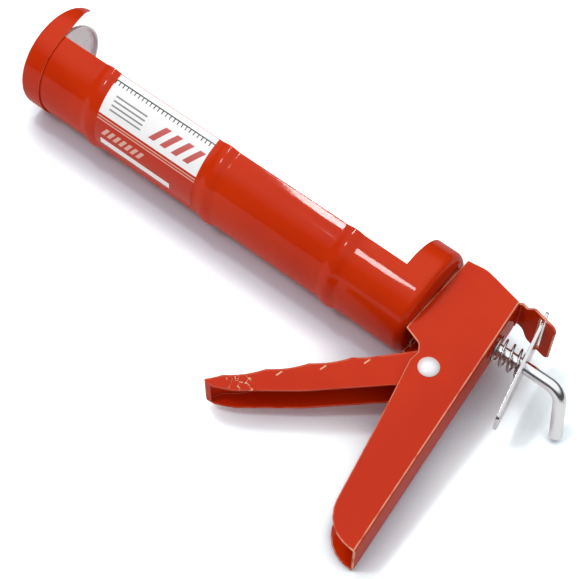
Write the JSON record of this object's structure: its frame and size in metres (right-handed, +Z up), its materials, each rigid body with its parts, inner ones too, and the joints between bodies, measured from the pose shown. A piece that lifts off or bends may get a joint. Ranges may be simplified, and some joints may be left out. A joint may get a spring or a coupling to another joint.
{
  "type": "caulking gun",
  "caption": "Half-barrel caulking gun with slotted front cup, folded handle, scalloped trigger, sliding hooked rod and sprung release plate.",
  "frame": {"origin": "on the floor under the middle of the gun's bounding box, the gun lying on its right side", "axes": "+X rearward along the push rod, +Y out of the barrel's open side and away from the handle's foot, +Z up from the floor; the gun is rolled about X so that its beads and the handle's right foot touch the floor"},
  "size_m": [0.3066, 0.1445, 0.054],
  "materials": {
    "paint": "glossy orange-red stoved paint on steel sheet",
    "zinc": "bright zinc plate",
    "spring_wire": "plated spring wire",
    "label": "printed film label, satin"
  },
  "bodies": {
    "frame": {"cradle": "paint", "front_cup": "paint", "rear_cup": "paint", "handle": "paint", "pivot_rivet": "zinc", "drive_spring": "spring_wire", "brake_spring": "spring_wire", "label": "label"},
    "trigger": {"trigger": "paint"},
    "drive_plate": {"drive_plate": "zinc"},
    "plunger": {"plunger_disc": "zinc", "plunger_washer": "zinc"},
    "rod": {"push_rod": "zinc", "plunger_nut": "zinc"},
    "release_plate": {"release_plate": "zinc"}
  },
  "joints": [
    {"name": "trigger_squeeze", "type": "hinge", "parent": "frame", "child": "trigger", "pos_m": [0.09486, 0.0143, 0.02294], "axis": [0, -0.1339, 0.991], "range_deg": [0, 26], "stiffness_Nm_per_rad": 1, "springref_deg": -11.46},
    {"name": "drive_slide", "type": "slide", "parent": "frame", "child": "drive_plate", "axis": [1, 0, 0], "range_m": [-0.00876, 0], "deforming": ["drive_spring"]},
    {"name": "plunger_travel", "type": "slide", "parent": "frame", "child": "plunger", "axis": [1, 0, 0], "range_m": [0, 0.218]},
    {"name": "rod_turn", "type": "hinge", "parent": "plunger", "child": "rod", "pos_m": [-0.14134, 0.04581, 0.0272], "axis": [1, 0, 0], "continuous": true},
    {"name": "release_press", "type": "hinge", "parent": "frame", "child": "release_plate", "pos_m": [0.12041, 0.06416, 0.02968], "axis": [0, -0.1339, 0.991], "range_deg": [-5, 0], "stiffness_Nm_per_rad": 0.2, "springref_deg": 5.73, "deforming": ["brake_spring"]}
  ],
  "couplings": [
    {"joint": "drive_slide", "follows": "trigger_squeeze", "m_per_rad": -0.0193}
  ]
}
